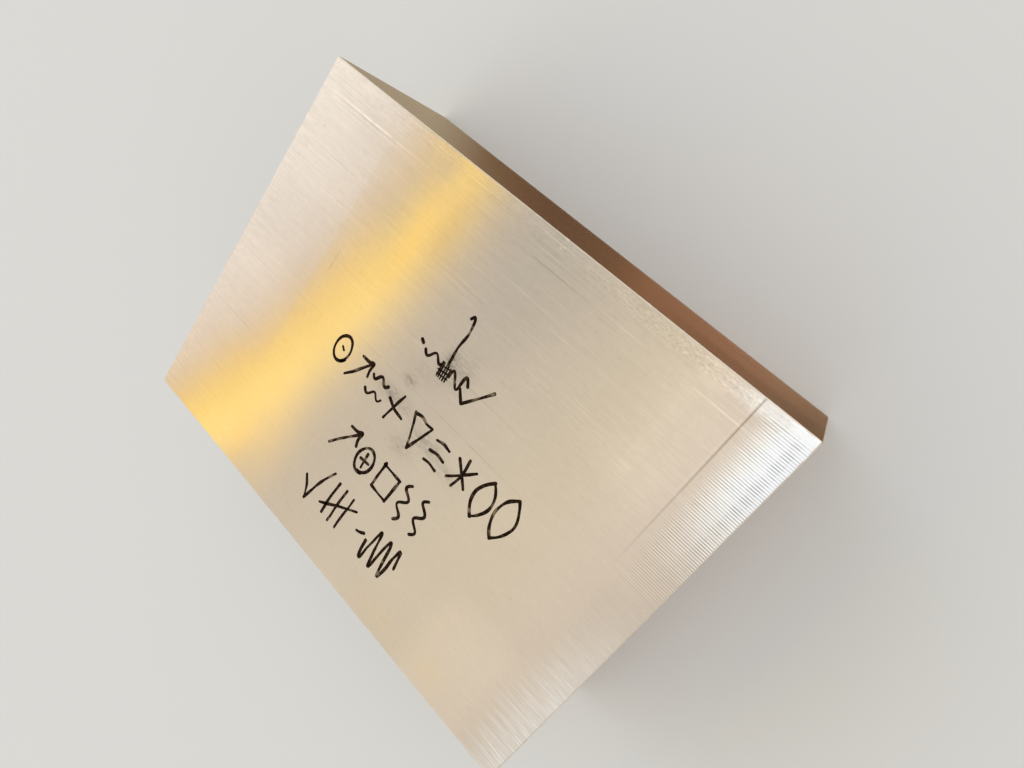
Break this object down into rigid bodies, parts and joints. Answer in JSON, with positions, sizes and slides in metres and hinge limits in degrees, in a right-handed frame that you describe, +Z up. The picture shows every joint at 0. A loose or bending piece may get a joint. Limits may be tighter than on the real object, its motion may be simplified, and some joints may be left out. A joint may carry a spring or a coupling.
{
  "type": "steel plate",
  "caption": "Thick rectangular plate of sawn stainless steel stock, with broken edges and a shallow saw-marked land across one end of the top.",
  "frame": {"origin": "middle of the underside", "axes": "+X along the length, towards the end with the saw-marked land; +Y across the width; +Z up, out of the marked top face"},
  "size_m": [0.24, 0.18, 0.088],
  "materials": {
    "stainless_steel": "sawn and lightly ground along the length, satin, warm grey",
    "marker_ink": "dry black marker ink on the top face"
  },
  "bodies": {
    "root": {"steel_plate": "stainless_steel"}
  },
  "joints": []
}
